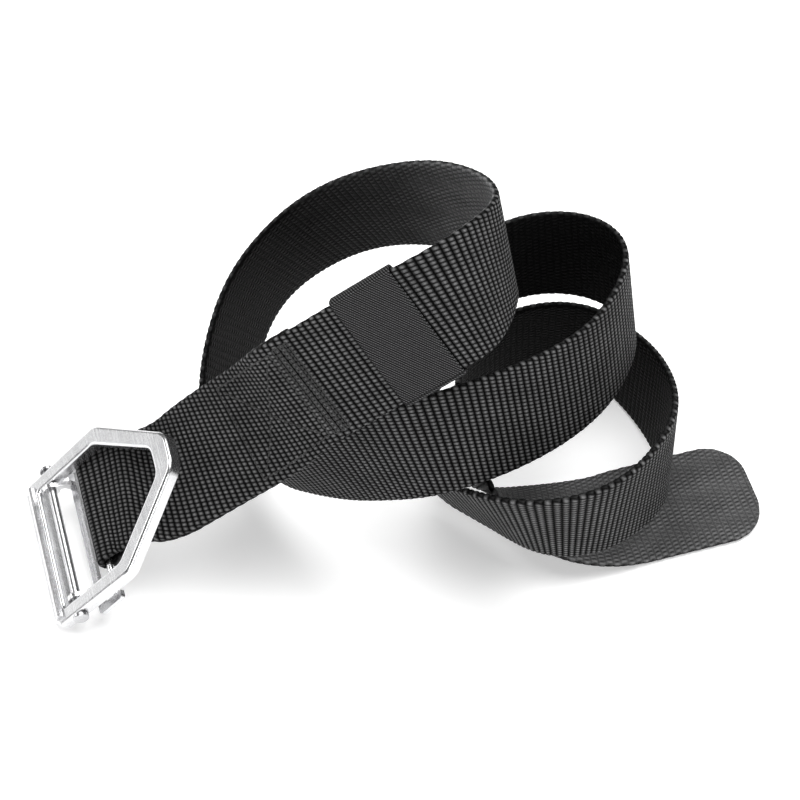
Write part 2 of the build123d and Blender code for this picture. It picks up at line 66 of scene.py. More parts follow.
# centre of the webbing, unit vector across it, unit normal of its outer face
STATIONS = [
    ((-125.912, -24.887, 19.256), (-0.23426, 0.97006, 0.06407), (-0.71838, -0.21713, 0.66090)),
    ((-121.327, -24.126, 24.490), (-0.23426, 0.97006, 0.06407), (-0.71838, -0.21713, 0.66090)),
    ((-116.743, -23.363, 29.724), (-0.19817, 0.97120, 0.13231), (-0.71380, -0.23550, 0.65956)),
    ((-109.053, -23.063, 37.435), (-0.18133, 0.96083, 0.20958), (-0.60954, -0.27704, 0.74277)),
    ((-99.824, -25.773, 42.710), (-0.20290, 0.93654, 0.28588), (-0.58327, -0.35010, 0.73296)),
    ((-91.348, -27.227, 49.535), (-0.26127, 0.90116, 0.34590), (-0.63259, -0.43052, 0.64380)),
    ((-83.607, -27.501, 57.488), (-0.33018, 0.85985, 0.38941), (-0.62557, -0.50827, 0.59188)),
    ((-75.866, -27.721, 65.475), (-0.38565, 0.81774, 0.42730), (-0.60569, -0.57374, 0.55134)),
    ((-68.206, -28.336, 73.539), (-0.42606, 0.77632, 0.46455), (-0.60923, -0.62580, 0.48704)),
    ((-60.877, -29.597, 81.812), (-0.46384, 0.73217, 0.49877), (-0.60867, -0.67246, 0.42109)),
    ((-53.819, -30.965, 90.137), (-0.50748, 0.67879, 0.53076), (-0.61654, -0.71636, 0.32666)),
    ((-47.931, -32.857, 99.099), (-0.55203, 0.61172, 0.56663), (-0.62808, -0.75202, 0.19997)),
    ((-42.852, -35.353, 108.458), (-0.58406, 0.48301, 0.65237), (-0.37953, -0.87293, 0.30652)),
    ((-36.358, -36.782, 116.994), (-0.58157, 0.42667, 0.69263), (-0.18037, -0.89786, 0.40165)),
    ((-27.798, -35.605, 123.468), (-0.58157, 0.42667, 0.69263), (-0.18037, -0.89786, 0.40165)),
    ((-19.219, -34.426, 129.957), (-0.58157, 0.42667, 0.69263), (-0.18037, -0.89786, 0.40165)),
    ((-10.640, -33.247, 136.445), (-0.58157, 0.42667, 0.69263), (-0.18037, -0.89786, 0.40165)),
    ((-2.061, -32.068, 142.933), (-0.58157, 0.42667, 0.69263), (-0.18037, -0.89786, 0.40165)),
    ((6.518, -30.889, 149.421), (-0.58157, 0.42667, 0.69263), (-0.18037, -0.89786, 0.40165)),
    ((15.096, -29.710, 155.910), (-0.58157, 0.42667, 0.69263), (-0.18037, -0.89786, 0.40165)),
    ((23.866, -26.282, 159.756), (-0.50001, 0.41731, 0.75884), (0.27261, -0.75585, 0.59529)),
    ((31.631, -19.935, 160.749), (-0.39265, 0.38904, 0.83335), (0.62099, -0.55622, 0.55226)),
    ((37.898, -10.981, 159.387), (-0.28886, 0.34893, 0.89152), (0.83327, -0.36690, 0.41358)),
    ((42.532, -0.426, 156.093), (-0.20545, 0.30583, 0.92965), (0.94530, -0.18390, 0.26941)),
    ((44.400, 11.229, 151.733), (-0.17626, 0.27058, 0.94643), (0.98183, 0.11694, 0.14942)),
    ((41.081, 23.435, 146.952), (-0.17754, 0.23230, 0.95630), (0.90207, 0.42685, 0.06378)),
    ((34.079, 34.582, 141.424), (-0.21446, 0.19550, 0.95697), (0.78348, 0.61948, 0.04903)),
    ((25.576, 43.958, 135.414), (-0.27700, 0.16082, 0.94732), (0.67116, 0.73791, 0.07098)),
    ((17.314, 51.016, 129.094), (-0.34312, 0.12282, 0.93123), (0.54843, 0.83107, 0.09247)),
    ((9.062, 56.217, 123.177), (-0.39627, 0.07618, 0.91497), (0.41084, 0.90593, 0.10251)),
    ((0.325, 59.999, 117.794), (-0.43496, 0.02094, 0.90021), (0.29066, 0.94948, 0.11835)),
    ((-8.445, 62.963, 112.052), (-0.46400, -0.03934, 0.88496), (0.18283, 0.97325, 0.13913)),
    ((-17.140, 64.984, 105.875), (-0.48373, -0.10199, 0.86925), (0.05380, 0.98784, 0.14585)),
    ((-25.769, 65.776, 99.390), (-0.49053, -0.16625, 0.85542), (-0.10009, 0.98588, 0.13421)),
    ((-34.249, 65.035, 92.736), (-0.48281, -0.23134, 0.84462), (-0.26317, 0.95822, 0.11202)),
    ((-42.405, 62.769, 86.030), (-0.46342, -0.29457, 0.83575), (-0.41543, 0.90529, 0.08873)),
    ((-50.020, 59.116, 79.300), (-0.43836, -0.35093, 0.82746), (-0.56204, 0.82545, 0.05232)),
    ((-56.654, 53.923, 72.537), (-0.41468, -0.39501, 0.81976), (-0.70335, 0.71072, -0.01333)),
    ((-61.833, 47.173, 65.853), (-0.39760, -0.42382, 0.81381), (-0.81122, 0.57682, -0.09594)),
    ((-65.522, 39.267, 59.410), (-0.38824, -0.43636, 0.81170), (-0.87219, 0.45840, -0.17074)),
    ((-68.030, 30.684, 53.241), (-0.38481, -0.42972, 0.81686), (-0.90340, 0.35675, -0.23790)),
    ((-69.349, 21.587, 47.430), (-0.38720, -0.39802, 0.83166), (-0.91987, 0.22796, -0.31917)),
    ((-69.078, 11.759, 42.747), (-0.39928, -0.33871, 0.85197), (-0.90667, 0.00795, -0.42176)),
    ((-66.364, 1.377, 40.632), (-0.42421, -0.26042, 0.86731), (-0.81367, -0.31076, -0.49129)),
    ((-60.905, -8.132, 41.792), (-0.45704, -0.18097, 0.87084), (-0.63595, -0.61801, -0.46220)),
    ((-53.660, -15.589, 45.837), (-0.48502, -0.11441, 0.86699), (-0.47031, -0.80170, -0.36890)),
    ((-45.712, -21.454, 51.375), (-0.49722, -0.06194, 0.86541), (-0.39669, -0.87085, -0.29025)),
    ((-37.427, -26.818, 57.341), (-0.49194, -0.01607, 0.87048), (-0.37452, -0.89869, -0.22824)),
    ((-28.833, -31.594, 63.605), (-0.47442, 0.02954, 0.87980), (-0.34972, -0.92351, -0.15758)),
    ((-19.959, -35.606, 70.078), (-0.44965, 0.07484, 0.89006), (-0.32635, -0.94135, -0.08572)),
    ((-10.851, -39.006, 76.534), (-0.41847, 0.11605, 0.90079), (-0.30955, -0.95064, -0.02133)),
    ((-1.478, -41.906, 82.671), (-0.37904, 0.15142, 0.91291), (-0.25889, -0.96448, 0.05248)),
    ((8.321, -43.523, 88.093), (-0.33105, 0.18274, 0.92575), (-0.10888, -0.98191, 0.15489)),
    ((18.562, -42.702, 91.711), (-0.27928, 0.21052, 0.93685), (0.13038, -0.95832, 0.25421)),
    ((28.786, -39.465, 92.896), (-0.23244, 0.23035, 0.94494), (0.33130, -0.89469, 0.29960)),
    ((38.731, -34.896, 92.722), (-0.19725, 0.23653, 0.95139), (0.44589, -0.84263, 0.30193)),
    ((48.338, -29.459, 91.945), (-0.17443, 0.22775, 0.95797), (0.51905, -0.80548, 0.28600)),
    ((57.592, -23.369, 90.957), (-0.16035, 0.20767, 0.96497), (0.57748, -0.77311, 0.26234)),
    ((66.404, -16.639, 89.957), (-0.15070, 0.18166, 0.97174), (0.63764, -0.73330, 0.23597)),
    ((74.605, -9.185, 89.061), (-0.14242, 0.15497, 0.97760), (0.70669, -0.67562, 0.21006)),
    ((81.936, -0.903, 88.314), (-0.13398, 0.13294, 0.98203), (0.78658, -0.58849, 0.18698)),
    ((88.013, 8.294, 87.666), (-0.12522, 0.12016, 0.98483), (0.86588, -0.47135, 0.16761)),
    ((92.622, 18.256, 86.990), (-0.11682, 0.11772, 0.98615), (0.92393, -0.35134, 0.15139)),
    ((95.998, 28.628, 86.125), (-0.10969, 0.12142, 0.98652), (0.96986, -0.20418, 0.13296)),
    ((97.339, 39.356, 84.989), (-0.10468, 0.12302, 0.98687), (0.99375, 0.05165, 0.09898)),
    ((95.149, 49.842, 83.581), (-0.10166, 0.11441, 0.98822), (0.91726, 0.39532, 0.04859)),
    ((89.155, 58.707, 82.044), (-0.09752, 0.09286, 0.99089), (0.70821, 0.70600, 0.00354)),
    ((80.266, 64.787, 80.666), (-0.08757, 0.06421, 0.99409), (0.41283, 0.91053, -0.02244)),
    ((69.811, 67.423, 79.837), (-0.07191, 0.03878, 0.99666), (0.08832, 0.99557, -0.03237)),
    ((59.079, 66.639, 79.830), (-0.05825, 0.02214, 0.99806), (-0.20932, 0.97726, -0.03390)),
    ((48.988, 62.979, 80.296), (-0.05492, 0.01035, 0.99844), (-0.44840, 0.89319, -0.03393)),
    ((40.002, 57.093, 80.644), (-0.06385, -0.00741, 0.99793), (-0.64390, 0.76428, -0.03553)),
    ((32.652, 49.249, 81.012), (-0.08309, -0.04536, 0.99551), (-0.79570, 0.60444, -0.03887)),
    ((27.033, 40.081, 81.570), (-0.11135, -0.11614, 0.98697), (-0.87684, 0.47889, -0.04257)),
    ((22.417, 30.482, 80.713), (-0.14468, -0.21870, 0.96501), (-0.90079, 0.43267, -0.03700)),
    ((18.433, 21.711, 76.139), (-0.17206, -0.33009, 0.92814), (-0.90879, 0.41677, -0.02025)),
    ((15.170, 14.115, 69.125), (-0.18105, -0.42073, 0.88894), (-0.91828, 0.39594, 0.00037)),
    ((12.187, 7.238, 61.142), (-0.16822, -0.47695, 0.86269), (-0.92643, 0.37550, 0.02695)),
    ((9.138, 0.381, 53.153), (-0.14484, -0.50082, 0.85335), (-0.95472, 0.29726, 0.01241)),
    ((7.470, -7.262, 45.598), (-0.13469, -0.49730, 0.85706), (-0.99050, 0.04349, -0.13042)),
    ((10.289, -15.351, 39.169), (-0.15851, -0.46752, 0.86966), (-0.86752, -0.35464, -0.34878)),
    ((17.591, -22.429, 35.846), (-0.21398, -0.41208, 0.88567), (-0.62140, -0.64214, -0.44890)),
    ((26.063, -29.086, 36.980), (-0.27301, -0.34170, 0.89928), (-0.50480, -0.74488, -0.43628)),
    ((34.003, -36.341, 40.609), (-0.30274, -0.27905, 0.91131), (-0.51724, -0.75501, -0.40302)),
    ((41.682, -44.511, 45.833), (-0.28533, -0.24113, 0.92760), (-0.51647, -0.77661, -0.36074)),
    ((50.182, -51.765, 50.649), (-0.21974, -0.22268, 0.94980), (-0.40397, -0.86543, -0.29636)),
    ((60.226, -55.659, 53.110), (-0.12093, -0.20085, 0.97213), (-0.14554, -0.96515, -0.21751)),
    ((70.974, -55.529, 53.440), (-0.01897, -0.15732, 0.98737), (0.16932, -0.97378, -0.15191)),
    ((81.128, -51.878, 52.165), (0.05564, -0.09457, 0.99396), (0.43658, -0.89299, -0.10940)),
    ((90.073, -45.781, 50.090), (0.09079, -0.02806, 0.99547), (0.62400, -0.77744, -0.07882)),
    ((97.756, -38.085, 47.761), (0.09438, 0.03184, 0.99503), (0.74614, -0.66394, -0.04953)),
    ((104.350, -29.388, 45.420), (0.08183, 0.08548, 0.99297), (0.82918, -0.55861, -0.02025)),
    ((109.835, -19.978, 42.877), (0.06525, 0.13491, 0.98871), (0.90191, -0.43192, -0.00058)),
    ((113.667, -9.926, 39.776), (0.05153, 0.17476, 0.98326), (0.96513, -0.26174, -0.00406)),
    ((115.379, 0.568, 36.240), (0.04438, 0.19479, 0.97984), (0.99657, -0.07723, -0.02979)),
    ((115.096, 11.214, 32.798), (0.04434, 0.18949, 0.98088), (0.99449, 0.08500, -0.06138)),
    ((113.169, 21.809, 29.847), (0.04810, 0.16197, 0.98562), (0.97123, 0.22282, -0.08402)),
    ((109.832, 32.167, 27.518), (0.05035, 0.11988, 0.99151), (0.92839, 0.36037, -0.09072)),
    ((104.954, 41.977, 25.891), (0.04682, 0.07025, 0.99643), (0.85901, 0.50628, -0.07605)),
    ((98.567, 50.915, 25.075), (0.03621, 0.01814, 0.99918), (0.77112, 0.63547, -0.03949)),
    ((91.017, 58.833, 24.998), (0.02141, -0.03231, 0.99925), (0.63985, 0.76842, 0.01114)),
    ((81.947, 64.750, 25.295), (0.00872, -0.07701, 0.99699), (0.40530, 0.91174, 0.06688)),
    ((71.498, 67.470, 25.545), (0.00317, -0.11029, 0.99389), (0.09627, 0.98932, 0.10947)),
    ((60.702, 66.782, 25.615), (0.00284, -0.12372, 0.99231), (-0.19941, 0.97232, 0.12180)),
    ((50.485, 63.173, 25.449), (0.00034, -0.11042, 0.99388), (-0.45098, 0.88706, 0.09871)),
    ((41.519, 57.082, 25.148), (-0.00777, -0.07440, 0.99720), (-0.66234, 0.74749, 0.05061)),
    ((34.374, 48.927, 24.993), (-0.01444, -0.03457, 0.99930), (-0.82972, 0.55814, 0.00732)),
    ((29.522, 39.246, 25.297), (-0.00856, -0.01534, 0.99985), (-0.94205, 0.33546, -0.00292)),
    ((27.099, 28.508, 26.237), (0.01224, -0.03425, 0.99934), (-0.99299, 0.11711, 0.01617)),
    ((26.972, 17.388, 26.968), (0.03852, -0.10111, 0.99413), (-0.99618, -0.08191, 0.03027)),
    ((28.934, 6.417, 26.867), (0.05857, -0.22305, 0.97305), (-0.96336, -0.26817, -0.00348)),
    ((32.871, -3.783, 25.280), (0.06802, -0.39985, 0.91405), (-0.88374, -0.44933, -0.13079)),
    ((39.059, -12.035, 21.860), (0.07027, -0.60558, 0.79268), (-0.73137, -0.57166, -0.37189)),
    ((47.256, -16.661, 16.802), (0.07235, -0.78601, 0.61397), (-0.55784, -0.54218, -0.62837)),
    ((56.601, -18.466, 11.871), (0.08327, -0.90165, 0.42437), (-0.40665, -0.41953, -0.81156)),
    ((66.774, -18.739, 8.131), (0.11233, -0.95694, 0.26769), (-0.28101, -0.28899, -0.91516)),
    ((77.407, -17.628, 5.304), (0.16239, -0.97458, 0.15433), (-0.19135, -0.18454, -0.96402)),
    ((87.905, -15.576, 3.333), (0.22541, -0.97153, 0.07301), (-0.13599, -0.10558, -0.98507)),
    ((98.008, -11.972, 1.772), (0.29040, -0.95687, 0.00765), (0.00223, -0.00732, -0.99997)),
    ((108.310, -8.621, 1.500), (0.29082, -0.95678, 0.00000), (0.00000, 0.00000, -1.00000)),
]
BX = np.array((0.655023, 0.108793, 0.747736))
BY = np.array((-0.234256, 0.970061, 0.064070))
BZ = np.cross(BX, BY)
TAIL_X = np.array((0.956776, 0.290825, 0.0))


def unit(a):
    return a / np.maximum(np.linalg.norm(a, axis=-1, keepdims=True), 1e-12)


# ------------------------------------------------------------------ path of the webbing
P0 = np.array([s[0] for s in STATIONS])
W0 = unit(np.array([s[1] for s in STATIONS]))
N0 = unit(np.array([s[2] for s in STATIONS]))
ORIGIN = P0[0] - BZ * 1.6


def local(x, z):
    return ORIGIN + BX * x + BZ * z


rows = []               # (centre, across, normal)
for i in range(LAYER_LAST, 1, -1):
    rows.append((P0[i] - N0[i] * (STRAP_T - 0.03), W0[i], -N0[i]))
rows.append((local(9.0, -2.35), BY, unit(-BZ - BX * 0.22)))
for k in range(9):
    a = math.radians(-90 - 22.5 * k)
    d = BX * math.cos(a) + BZ * math.sin(a)
    rows.append((local(ROD_X, 0) + d * FOLD_R, BY, d))
rows.append((local(9.0, 2.5), BY, unit(BZ + BX * 0.22)))
FIRST = len(rows) - 2   # row index of station i is FIRST + i
for i in range(2, len(STATIONS)):
    rows.append((P0[i], W0[i], N0[i]))
for k in range(1, 10):
    rows.append((P0[-1] + TAIL_X * (TAIL_FLAT * k / 9), W0[-1], N0[-1]))
RP, RW, RN = (np.array([r[k] for r in rows]) for k in range(3))
RT = np.concatenate([[0.0], np.cumsum(np.linalg.norm(np.diff(RP, axis=0), axis=1))])
LENGTH = float(RT[-1])


def hermite(y, t):
    """Smooth curve through the rows."""
    m = np.empty_like(y)
    m[1:-1] = (y[2:] - y[:-2]) / (RT[2:] - RT[:-2])[:, None]
    m[0], m[-1] = (y[1] - y[0]) / (RT[1] - RT[0]), (y[-1] - y[-2]) / (RT[-1] - RT[-2])
    i = np.clip(np.searchsorted(RT, t, side="right") - 1, 0, len(RT) - 2)
    h = (RT[i + 1] - RT[i])
    f = ((t - RT[i]) / h)[:, None]
    h = h[:, None]
    return ((2 * f**3 - 3 * f**2 + 1) * y[i] + (f**3 - 2 * f**2 + f) * h * m[i]
            + (-2 * f**3 + 3 * f**2) * y[i + 1] + (f**3 - f**2) * h * m[i + 1])


def path(t):
    t = np.atleast_1d(np.asarray(t, float))
    return hermite(RP, t), unit(hermite(RW, t)), unit(hermite(RN, t))


def on_strap(s, v, lift):
    """Point, normal on the outer face: s counts stations, v is in widths from the middle."""
    t = np.interp(FIRST + np.atleast_1d(s), np.arange(len(RT)), RT)
    p, w, n = path(t)
    v = np.broadcast_to(np.asarray(v, float), t.shape)[:, None]
    return p + w * v * STRAP_W + n * (STRAP_T / 2 + lift), n


# ------------------------------------------------------------------ mesh helpers
def mesh_object(name, verts_mm, quads, caps=(), attr=None):
    v = np.asarray(verts_mm, float) * MM
    faces = [list(map(int, q)) for q in caps]
    q = np.asarray(quads, int)
    a, b, c, d = (v[q[:, k]] for k in range(4))
    vol = (np.einsum("ij,ij->i", a, np.cross(b, c)) + np.einsum("ij,ij->i", a, np.cross(c, d))).sum()
    if vol < 0:
        q = q[:, ::-1]
        faces = [f[::-1] for f in faces]
    me = bpy.data.meshes.new(name)
    me.from_pydata(v.tolist(), [], q.tolist() + faces)
    me.shade_smooth()
    if attr is not None:
        at = me.attributes.new("weave", "FLOAT_VECTOR", "POINT")
        at.data.foreach_set("vector", np.asarray(attr, np.float32).ravel())
    me.validate()
    me.update()
    ob = bpy.data.objects.new(name, me)
    bpy.context.scene.collection.objects.link(ob)
    return ob


def grid(nr, nc, close_rows=False):
    """Quads of a grid whose columns close on themselves."""
    r = np.arange(nr if close_rows else nr - 1)[:, None]
    c = np.arange(nc)[None, :]
    a = r * nc + c
    b = r * nc + (c + 1) % nc
    r2 = (r + 1) % nr
    return np.stack([a, b, r2 * nc + (c + 1) % nc, r2 * nc + c], -1).reshape(-1, 4)


# ------------------------------------------------------------------ webbing
def build_strap():
    body = np.arange(0.0, LENGTH - TIP_R, RIB / 4)
    th = np.linspace(0, math.pi / 2, 34)
    tip = LENGTH - TIP_R * (1 - np.sin(th))
    t = np.concatenate([body, tip[1:]])
    p, w, n = path(t)
    dist = np.maximum(LENGTH - t, 0.0)
    half = np.where(dist < TIP_R, 8.0 + np.sqrt(np.maximum(TIP_R**2 - (TIP_R - dist) ** 2, 0)), 25.0)
    rib = np.abs(np.sin(math.pi * t / RIB)) ** 0.6
    scal = np.abs(np.sin(math.pi * t / (2 * RIB) + 0.6))
    cols = np.concatenate([[-24.75, -24.1], np.linspace(-22.8, 22.8, 18), [24.1, 24.75]])
    thick = np.interp(np.abs(cols), [0, 22.8, 24.1, 24.75], [1.5, 1.5, 1.42, 0.98])
    ring_v = np.concatenate([cols, [25.05], cols[::-1], [-25.05]])
    ring_z = np.concatenate([thick, [0.0], -thick[::-1], [0.0]])
    ring_s = np.concatenate([np.ones(len(cols)), [0.5], np.zeros(len(cols)), [0.5]])
    edge = np.clip((np.abs(ring_v) - 23.5) / 1.5, 0, 1)
    rng = np.random.default_rng(7)
    wob = np.interp(t, np.arange(0, LENGTH + 60, 37.0), rng.normal(0, 0.12, len(np.arange(0, LENGTH + 60, 37.0))))
    vv = ring_v[None, :] / 25.0 * half[:, None] - np.sign(ring_v)[None, :] * edge[None, :] * (0.26 * (1 - scal))[:, None]
    zz = ring_z[None, :] * (1 - 0.26 * (1 - rib))[:, None] + (wob[:, None] * (ring_v[None, :] / 25.0) ** 2) * 0.5
    verts = p[:, None, :] + w[:, None, :] * vv[..., None] + n[:, None, :] * zz[..., None]
    nr, nc = vv.shape
    attr = np.zeros((nr, nc, 3))
    attr[..., 0] = t[:, None]
    attr[..., 1] = vv + 100.0 * BEAD
    # Painted light and shade on the inner face: near black deep inside the coil, lighter round bend 1 and brighter
    # on the tail; the edges are painted darker at 0.45 and the outer face stays at 1.
    place = np.interp(t, [RT[FIRST + 8], RT[FIRST + 16], RT[FIRST + 18], RT[FIRST + 21], RT[FIRST + 25], RT[FIRST + 30], RT[FIRST + 34], RT[FIRST + 104], RT[FIRST + 112], RT[FIRST + 116], LENGTH],
                      [0.10, 0.15, 1.4, 1.9, 2.3, 0.5, 0.02, 0.02, 0.4, 1.3, 1.3])
    painted_shade_and_light = np.where(ring_s[None, :] > 0.9, 1.0, np.where(ring_s[None, :] > 0.4, 0.45, place[:, None]))
    attr[..., 2] = ring_s[None, :]
    caps = [list(range(nc))[::-1], [(nr - 1) * nc + k for k in range(nc)]]
    ob = mesh_object("strap_webbing", verts.reshape(-1, 3), grid(nr, nc), caps, attr.reshape(-1, 3))
    at = ob.data.attributes.new("painted_shade_and_light", "FLOAT", "POINT")
    at.data.foreach_set("value", painted_shade_and_light.astype(np.float32).ravel())
    return ob


# ------------------------------------------------------------------ sewing: one small pod of thread for each stitch
def stitch_mesh(name, runs, step, long, wide, high):
    """runs is a list of (points, normals) in mm."""
    rings, segs = 6, 8
    phi = np.linspace(0.12, math.pi - 0.12, rings)
    ang = np.arange(segs) * 2 * math.pi / segs
    prof = np.sin(phi) ** 0.55
    rng = np.random.default_rng(11)
    verts, quads, caps, attr, base = [], [], [], [], 0
    for pts, nor in runs:
        d = np.concatenate([[0.0], np.cumsum(np.linalg.norm(np.diff(pts, axis=0), axis=1))])
        count = max(1, int(d[-1] / step))
        for k in range(count):
            u = (k + 0.5) * d[-1] / count
            c = np.array([np.interp(u, d, pts[:, j]) for j in range(3)])
            e0 = np.array([np.interp(max(u - 0.8, 0), d, pts[:, j]) for j in range(3)])
            e1 = np.array([np.interp(min(u + 0.8, d[-1]), d, pts[:, j]) for j in range(3)])
            n = unit(np.array([np.interp(u, d, nor[:, j]) for j in range(3)]))
            tt = unit(e1 - e0)
            n = unit(n - tt * (n @ tt))
            b = np.cross(n, tt)
            tt2 = unit(tt + b * rng.normal(0, 0.06))
            b = np.cross(n, tt2)
            ring = (c + (-np.cos(phi) * long / 2)[:, None, None] * tt2
                    + (np.cos(ang)[None, :, None] * (wide / 2) * prof[:, None, None]) * b
                    + (np.sin(ang)[None, :, None] * (high / 2) * prof[:, None, None]) * n
                    - (np.cos(phi) ** 2 * 0.16)[:, None, None] * n)
            verts.append(ring.reshape(-1, 3))
            a = np.zeros((rings, segs, 3))
            a[..., 0] = (-np.cos(phi) * long / 2)[:, None] + u
            a[..., 1] = ang[None, :]
            attr.append(a.reshape(-1, 3))
            quads.append(grid(rings, segs) + base)
            caps.append([base + j for j in range(segs)][::-1])
            caps.append([base + (rings - 1) * segs + j for j in range(segs)])
            base += rings * segs
    return mesh_object(name, np.concatenate(verts), np.concatenate(quads), caps, np.concatenate(attr))


def line(sa, va, sb, vb, lift=0.06, count=40):
    f = np.linspace(0, 1, count)
    return on_strap(sa + (sb - sa) * f, va + (vb - va) * f, lift)


# ------------------------------------------------------------------ keeper band
def keeper_frame():
    ka, kb = P0[KEEPER_A], P0[KEEPER_B]
    kx = unit(kb - ka)
    kz = unit(np.cross(kx, W0[KEEPER_A] + W0[KEEPER_B]))
    return (ka + kb) / 2, kx, np.cross(kz, kx), kz


def build_keeper():
    o, kx, ky, kz = keeper_frame()
    iw, it = STRAP_W / 2 + KEEPER_GAP + 0.15, STRAP_T / 2 + KEEPER_GAP
    # the loop as seen along the strap: rounded rectangle through the middle of the band
    hw, ht, r = iw + KEEPER_T / 2, it + KEEPER_T / 2, 1.25
    pts, nor = [], []
    flat = 124
    for side in range(4):
        if side in (0, 2):
            s = 1 if side == 0 else -1
            for k in range(flat):
                f = (k + 0.5) / flat
                pts.append((s * (-(hw - r) + 2 * (hw - r) * f), s * ht))
                nor.append((0, s))
            for k in range(7):
                a = math.radians(90 - 90 * (k + 0.5) / 7) if side == 0 else math.radians(-90 - 90 * (k + 0.5) / 7)
                cx, cy = (hw - r, ht - r) if side == 0 else (-(hw - r), -(ht - r))
                pts.append((cx + r * math.cos(a), cy + r * math.sin(a)))
                nor.append((math.cos(a), math.sin(a)))
        else:
            s = 1 if side == 1 else -1
            for k in range(5):
                f = (k + 0.5) / 5
                pts.append((s * hw, s * ((ht - r) - 2 * (ht - r) * f)))
                nor.append((s, 0))
            for k in range(7):
                a = math.radians(0 - 90 * (k + 0.5) / 7) if side == 1 else math.radians(180 - 90 * (k + 0.5) / 7)
                cx, cy = (hw - r, -(ht - r)) if side == 1 else (-(hw - r), ht - r)
                pts.append((cx + r * math.cos(a), cy + r * math.sin(a)))
                nor.append((math.cos(a), math.sin(a)))
    pts, nor = np.array(pts), np.array(nor, float)
    arc = np.concatenate([[0.0], np.cumsum(np.linalg.norm(np.diff(pts, axis=0), axis=1))])
    m = 62
    xo = np.linspace(-KEEPER_L / 2 + 0.35, KEEPER_L / 2 - 0.35, m)
    px = np.concatenate([xo, [KEEPER_L / 2 - 0.05, KEEPER_L / 2 - 0.05], xo[::-4], [-KEEPER_L / 2 + 0.05, -KEEPER_L / 2 + 0.05]])
    inner = len(xo[::-4])
    po = np.concatenate([np.full(m, 1.0), [0.45, -0.45], np.full(inner, -1.0), [-0.45, 0.45]]) * KEEPER_T / 2
    side = np.concatenate([np.ones(m), [0.5, 0.5], np.zeros(inner), [0.5, 0.5]])
    twill = np.abs(np.sin(math.pi * (arc[:, None] * 0.62 + px[None, :]) / 1.15)) ** 0.7
    off = po[None, :] + np.where(side[None, :] > 0.9, -0.13 * (1 - twill), 0.0)
    bow = 0.10 * np.cos(arc / arc[-1] * 2 * math.pi * 3)[:, None] * (np.abs(px)[None, :] / (KEEPER_L / 2)) ** 3
    yy = pts[:, 0][:, None] + nor[:, 0][:, None] * off
    zz = pts[:, 1][:, None] + nor[:, 1][:, None] * off
    xx = px[None, :] + bow
    verts = o + kx * xx[..., None] + ky * yy[..., None] + kz * zz[..., None]
    attr = np.zeros(verts.shape)
    attr[..., 0] = arc[:, None]
    attr[..., 1] = px[None, :] + 100
    attr[..., 2] = side[None, :]
    return mesh_object("keeper_band", verts.reshape(-1, 3), grid(len(pts), len(px), True), (), attr.reshape(-1, 3)), arc[-1] + 0.3


# ------------------------------------------------------------------ materials
def math_node(nt, op, a, b=None, c=None):
    n = nt.nodes.new("ShaderNodeMath")
    n.operation = op
    for k, q in enumerate((a, b, c)):
        if q is None:
            continue
        if isinstance(q, (int, float)):
            n.inputs[k].default_value = q
        else:
            nt.links.new(q, n.inputs[k])
    return n.outputs[0]


def new_material(name):
    m = bpy.data.materials.new(name)
    m.use_nodes = True
    nt = m.node_tree
    return m, nt, nt.nodes["Principled BSDF"]


def noise(nt, vector, scale, detail=3.0, rough=0.5):
    n = nt.nodes.new("ShaderNodeTexNoise")
    n.inputs["Scale"].default_value = scale
    n.inputs["Detail"].default_value = detail
    n.inputs["Roughness"].default_value = rough
    nt.links.new(vector, n.inputs["Vector"])
    return n.outputs["Fac"]


def combine(nt, x, y, z=0.0):
    n = nt.nodes.new("ShaderNodeCombineXYZ")
    for k, q in enumerate((x, y, z)):
        if isinstance(q, (int, float)):
            n.inputs[k].default_value = q
        else:
            nt.links.new(q, n.inputs[k])
    return n.outputs[0]


def mix_colour(nt, fac, a, b):
    n = nt.nodes.new("ShaderNodeMix")
    n.data_type = "RGBA"
    nt.links.new(fac, n.inputs["Factor"])
    for key, q in (("A", a), ("B", b)):
        s = [i for i in n.inputs if i.name == key and i.type == "RGBA"][0]
        if isinstance(q, tuple):
            s.default_value = (*q, 1.0)
        else:
            nt.links.new(q, s)
    return [o for o in n.outputs if o.type == "RGBA"][0]


def weave_coords(nt):
    a = nt.nodes.new("ShaderNodeAttribute")
    a.attribute_name = "weave"
    s = nt.nodes.new("ShaderNodeSeparateXYZ")
    nt.links.new(a.outputs["Vector"], s.inputs[0])
    return s.outputs


def map_range(nt, q, a, b, c, d):
    n = nt.nodes.new("ShaderNodeMapRange")
    nt.links.new(q, n.inputs[0])
    for k, x in enumerate((a, b, c, d)):
        n.inputs[k + 1].default_value = x
    return n.outputs[0]


def bump(nt, height, distance, strength=1.0, normal=None):
    b = nt.nodes.new("ShaderNodeBump")
    b.inputs["Strength"].default_value = strength
    b.inputs["Distance"].default_value = distance
    nt.links.new(height, b.inputs["Height"])
    if normal is not None:
        nt.links.new(normal, b.inputs["Normal"])
    return b.outputs[0]


